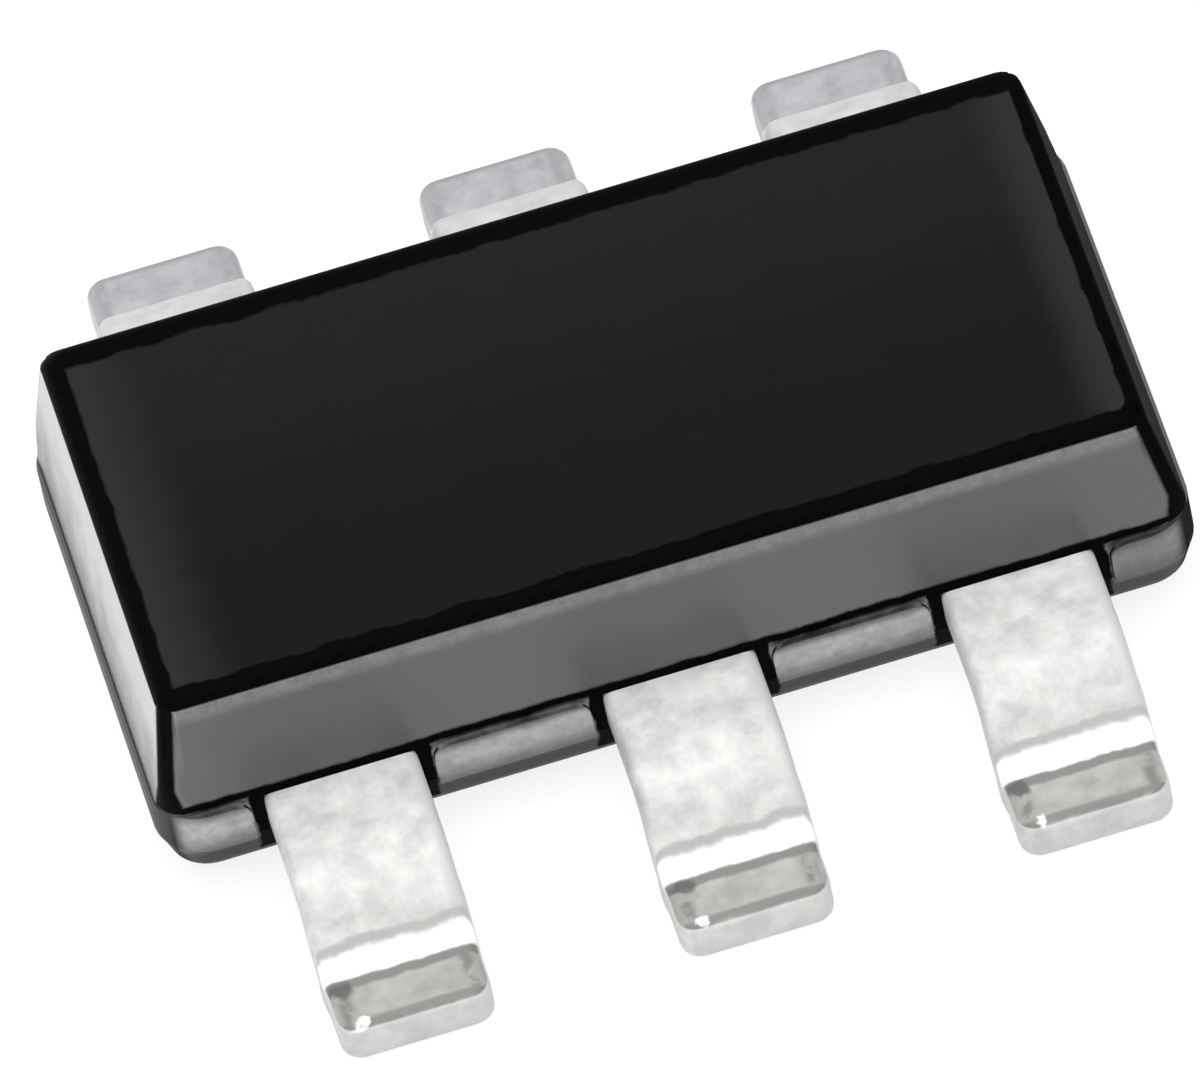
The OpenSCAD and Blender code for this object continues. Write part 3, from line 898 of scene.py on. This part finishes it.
def front_face(bm, x):
    """The face at x that looks furthest towards +Y."""
    ahead = [f for f in bm.faces if f.normal.y > 0.9 and abs(f.calc_center_median().x - x) < 0.05 * MM]
    return max(ahead, key=lambda f: f.calc_center_median().y)


def sharp_edges(bm):
    """Edges where two faces meet at more than 50 degrees."""
    return [e for e in bm.edges if e.is_manifold and e.calc_face_angle() > math.radians(50)]


def lead_mesh(sizes, low, high, column, neck_start, exit_y):
    """One lead with its exit towards +Y: inner plate, neck, shoulder, two bends, shank and foot."""
    half, thick, angle = sizes.width / 2, sizes.thickness, sizes.shank_angle
    top_z = high.z
    upper_mid, lower_mid = sizes.upper_bend + thick / 2, sizes.lower_bend + thick / 2
    middle_z = top_z - thick / 2
    shank = (middle_z - thick / 2 - (upper_mid + lower_mid) * (1 - math.cos(angle))) / math.sin(angle)
    bends = (upper_mid + lower_mid) * math.sin(angle)
    shoulder = high.y - exit_y - bends - shank * math.cos(angle) - sizes.foot_length

    # Inner plate: three cells across, the middle one as wide as the lead
    bm = bmesh.new()
    bmesh.ops.create_grid(bm, x_segments=3, y_segments=1, size=1.0)
    columns = (low.x, column - half, column + half, high.x)
    for vert in bm.verts:
        vert.co.x = columns[round((vert.co.x + 1) * 1.5)]
        vert.co.y = low.y if vert.co.y < 0 else neck_start
        vert.co.z = top_z - thick
    made = bmesh.ops.extrude_face_region(bm, geom=bm.faces[:])["geom"]
    raised = [v for v in made if isinstance(v, bmesh.types.BMVert)]
    bmesh.ops.translate(bm, verts=raised, vec=(0, 0, thick))
    bmesh.ops.recalc_face_normals(bm, faces=bm.faces[:])

    # Neck and shoulder, then the bends, pressed one after the other
    face = push(bm, front_face(bm, column), (0, exit_y - neck_start, 0))
    face = push(bm, face, (0, shoulder, 0))
    y = exit_y + shoulder
    face = press(bm, face, (column, y, middle_z - upper_mid), -angle)
    face = push(bm, face, Vector((0, math.cos(angle), -math.sin(angle))) * shank)
    y += upper_mid * math.sin(angle) + shank * math.cos(angle)
    z = middle_z - upper_mid * (1 - math.cos(angle)) - shank * math.sin(angle)
    centre = Vector((column, y + lower_mid * math.sin(angle), z + lower_mid * math.cos(angle)))
    face = press(bm, face, centre, angle)
    push(bm, face, (0, sizes.foot_length, 0))
    bmesh.ops.recalc_face_normals(bm, faces=bm.faces[:])

    # The lower bend stands out a little on each side where it was pressed
    reach = lower_mid * math.sin(angle)
    for vert in bm.verts:
        t = (vert.co.y - y) / reach
        if 0 < t < 1 and vert.co.z < z + thick:
            vert.co.x += math.copysign(sizes.bulge * math.sin(math.pi * t), vert.co.x - column)

    # Rounded toe corners, then the softened edges of the stamping
    slack = 0.001 * MM
    corners = [e for e in bm.edges if all(v.co.y > high.y - slack for v in e.verts)
               and abs(e.verts[0].co.x - e.verts[1].co.x) < slack]
    bmesh.ops.bevel(bm, geom=corners, offset=sizes.toe_rounding, offset_type="OFFSET",
                    affect="EDGES", segments=TOE_STEPS, profile=0.5, material=-1)
    bmesh.ops.bevel(bm, geom=sharp_edges(bm), offset=sizes.edge_rounding, offset_type="OFFSET",
                    affect="EDGES", segments=EDGE_STEPS, profile=0.5, material=-1, clamp_overlap=True)
    bmesh.ops.remove_doubles(bm, verts=bm.verts[:], dist=NEAR / 10)
    bmesh.ops.recalc_face_normals(bm, faces=bm.faces[:])
    return bm


# Operators

class CHIP_OT_effects(Operator):
    """Make the surface effects that the finishes share"""
    bl_idname = "chip.effects"
    bl_label = "Shared effects"

    def execute(self, context):
        make_effect_groups()
        return {"FINISHED"}


class CHIP_OT_moulding(Operator):
    """Make the moulded body with well rounded corners, in black resin"""
    bl_idname = "chip.moulding"
    bl_label = "Moulded body"

    def execute(self, context):
        scene = context.scene
        resin = resin_finish(scene.chip_colours, scene.chip_moulding, scene.chip_leads)
        node = fit_finish("body", resin)
        bm = bmesh.new()
        bm.from_mesh(node.data)
        soften_corners(bm, keep_normals(bm, node.data), scene.chip_moulding)
        mesh = link_piece("softened_body", bm, resin, "body").data
        normals = [item.vector for item in mesh.attributes["Exact normal"].data]
        mesh.normals_split_custom_set(normals)
        mesh.attributes.remove(mesh.attributes["Exact normal"])
        return {"FINISHED"}


class CHIP_OT_leads(Operator):
    """Bend the six tinned leads and set them in their places"""
    bl_idname = "chip.leads"
    bl_label = "Gull-wing leads"

    def execute(self, context):
        scene = context.scene
        sizes = scene.chip_leads
        tin = tin_finish(scene.chip_colours, sizes)
        exit_y = BODY_HIGH.y - scene.chip_moulding.ledge_width
        for pin, (low, high) in LEAD_BOXES.items():
            fit_finish("lead_%d" % pin, tin)
            front = pin in FRONT_PINS
            if front:
                low, high = Vector((-high.x, -high.y, low.z)), Vector((-low.x, -low.y, high.z))
            column = COLUMNS[pin] * sizes.pitch
            neck_start = low.y + sizes.paddle_width if pin == 2 else exit_y - sizes.neck_length
            bm = lead_mesh(sizes, low, high, column, neck_start, exit_y)
            if front:
                half_turn = Matrix.Rotation(math.pi, 3, "Z")
                bmesh.ops.rotate(bm, verts=bm.verts[:], cent=(0, 0, 0), matrix=half_turn)
            piece = link_piece("bent_lead_%d" % pin, bm, tin, "lead_%d" % pin)
            piece.modifiers.new("Even shading", "WEIGHTED_NORMAL")
        return {"FINISHED"}


class CHIP_OT_die(Operator):
    """Give the die and its adhesive their finishes"""
    bl_idname = "chip.die"
    bl_label = "Die and adhesive"

    def execute(self, context):
        colours = context.scene.chip_colours
        fit_finish("die", silicon_finish(colours))
        fit_finish("die_attach", adhesive_finish(colours))
        return {"FINISHED"}


class CHIP_OT_wires(Operator):
    """Give the six bond wires their gold"""
    bl_idname = "chip.wires"
    bl_label = "Bond wires"

    def execute(self, context):
        gold = gold_finish(context.scene.chip_colours)
        for pin in range(1, 7):
            fit_finish("bond_wire_%d" % pin, gold)
        return {"FINISHED"}


def add_softbox(name, azimuth, elevation, level):
    """Square lamp that faces the chip and gives a level of light to a surface turned to it."""
    lamp = bpy.data.lights.new(name, "AREA")
    lamp.shape = "SQUARE"
    lamp.size = SOFTBOX_WIDTH
    lamp.energy = level * math.pi ** 2 * SOFTBOX_DISTANCE ** 2
    piece = bpy.data.objects.new(name, lamp)
    a, e = math.radians(azimuth), math.radians(elevation)
    way = Vector((math.sin(a) * math.cos(e), -math.cos(a) * math.cos(e), math.sin(e)))
    piece.location = way * SOFTBOX_DISTANCE
    piece.rotation_euler = way.to_track_quat("Z", "Y").to_euler()
    bpy.context.scene.collection.objects.link(piece)


class CHIP_OT_studio(Operator):
    """Set up the pale floor, the soft lamps, the surroundings and the camera"""
    bl_idname = "chip.studio"
    bl_label = "Studio"

    def execute(self, context):
        scene = context.scene
        studio = scene.chip_studio
        self.add_floor(scene)
        self.add_surroundings(scene, studio.sky_level)
        for name, (azimuth, elevation, share) in SOFTBOXES.items():
            add_softbox(name, azimuth, elevation, share * studio.lamp_level)
        self.add_camera(scene, studio)
        scene.view_settings.view_transform = "Standard"
        return {"FINISHED"}

    @staticmethod
    def add_floor(scene):
        bm = bmesh.new()
        bmesh.ops.create_grid(bm, x_segments=1, y_segments=1, size=FLOOR_HALF_WIDTH)
        mesh = bpy.data.meshes.new("Studio_floor")
        bm.to_mesh(mesh)
        bm.free()
        mesh.materials.append(floor_finish())
        floor = bpy.data.objects.new("Studio_floor", mesh)
        scene.collection.objects.link(floor)

    @staticmethod
    def add_surroundings(scene, level):
        world = bpy.data.worlds.new("Surroundings")
        scene.world = world
        world.use_nodes = True
        tree = world.node_tree
        background = next(n for n in tree.nodes if n.type == "BACKGROUND")
        rays = add_node(tree, "ShaderNodeLightPath").outputs
        way = add_node(tree, "ShaderNodeTexCoord")
        parts = add_node(tree, "ShaderNodeSeparateXYZ")
        feed(parts.inputs[0], way.outputs["Generated"])
        # A glow low in front, and less light from the right
        rightward, backward, upward = parts.outputs
        in_front = both(ramp(backward, -0.5, -0.95), band(upward, -0.05, 0.45, 0.1))
        sky = mix_colours(in_front, SKY, GLOW)
        sky = mix_colours(ramp(rightward, 0.35, 0.85), sky, DIM_SKY)
        shiny = either(rays["Is Glossy Ray"], rays["Is Transmission Ray"])
        plain = mix_colours(shiny, (level, level, level), sky)
        feed(background.inputs["Color"], mix_colours(rays["Is Camera Ray"], plain, WHITE))

    @staticmethod
    def add_camera(scene, studio):
        turn, rise, roll = studio.turn, studio.height, studio.roll
        level = Vector((math.cos(turn), -math.sin(turn), 0))
        ahead = Vector((math.sin(turn) * math.cos(rise), math.cos(turn) * math.cos(rise), -math.sin(rise)))
        upward = level.cross(ahead)
        right = level * math.cos(roll) - upward * math.sin(roll)
        up = level * math.sin(roll) + upward * math.cos(roll)
        # The middle of the top stands left of and above the middle of the picture
        aim = Vector((0, 0, BODY_HIGH.z)) + right * studio.aim_right + up * studio.aim_up
        camera_data = bpy.data.cameras.new("Camera")
        camera_data.sensor_width = SENSOR_WIDTH
        camera_data.lens = SENSOR_WIDTH * studio.distance / studio.view_width
        camera_data.clip_start = studio.distance / 10
        camera_data.clip_end = studio.distance * 10
        camera = bpy.data.objects.new("Camera", camera_data)
        camera.matrix_world = Matrix((
            (right.x, up.x, -ahead.x, 0), (right.y, up.y, -ahead.y, 0),
            (right.z, up.z, -ahead.z, 0), (0, 0, 0, 1)))
        camera.location = aim - ahead * studio.distance
        scene.collection.objects.link(camera)
        scene.camera = camera


class CHIP_PT_panel(Panel):
    """Sizes, colours and buttons of the converter chip"""
    bl_idname = "CHIP_PT_panel"
    bl_label = "Converter chip"
    bl_space_type = "VIEW_3D"
    bl_region_type = "UI"
    bl_category = "Chip"

    def draw(self, context):
        scene = context.scene
        for operator in STEPS:
            self.layout.operator(operator.bl_idname)
        for group in (scene.chip_moulding, scene.chip_leads, scene.chip_colours, scene.chip_studio):
            box = self.layout.box()
            for name in group.bl_rna.properties.keys():
                if name not in ("rna_type", "name"):
                    box.prop(group, name)


STEPS = (CHIP_OT_effects, CHIP_OT_moulding, CHIP_OT_leads, CHIP_OT_die, CHIP_OT_wires, CHIP_OT_studio)
CLASSES = (MouldingSizes, LeadSizes, FinishColours, StudioSettings, *STEPS, CHIP_PT_panel)


def register():
    for item in CLASSES:
        bpy.utils.register_class(item)
    bpy.types.Scene.chip_moulding = PointerProperty(type=MouldingSizes)
    bpy.types.Scene.chip_leads = PointerProperty(type=LeadSizes)
    bpy.types.Scene.chip_colours = PointerProperty(type=FinishColours)
    bpy.types.Scene.chip_studio = PointerProperty(type=StudioSettings)


def unregister():
    for name in ("chip_moulding", "chip_leads", "chip_colours", "chip_studio"):
        delattr(bpy.types.Scene, name)
    for item in reversed(CLASSES):
        bpy.utils.unregister_class(item)


def main():
    register()
    bpy.ops.chip.effects()
    bpy.ops.chip.moulding()
    bpy.ops.chip.leads()
    bpy.ops.chip.die()
    bpy.ops.chip.wires()
    bpy.ops.chip.studio()


if __name__ == "__main__":
    main()
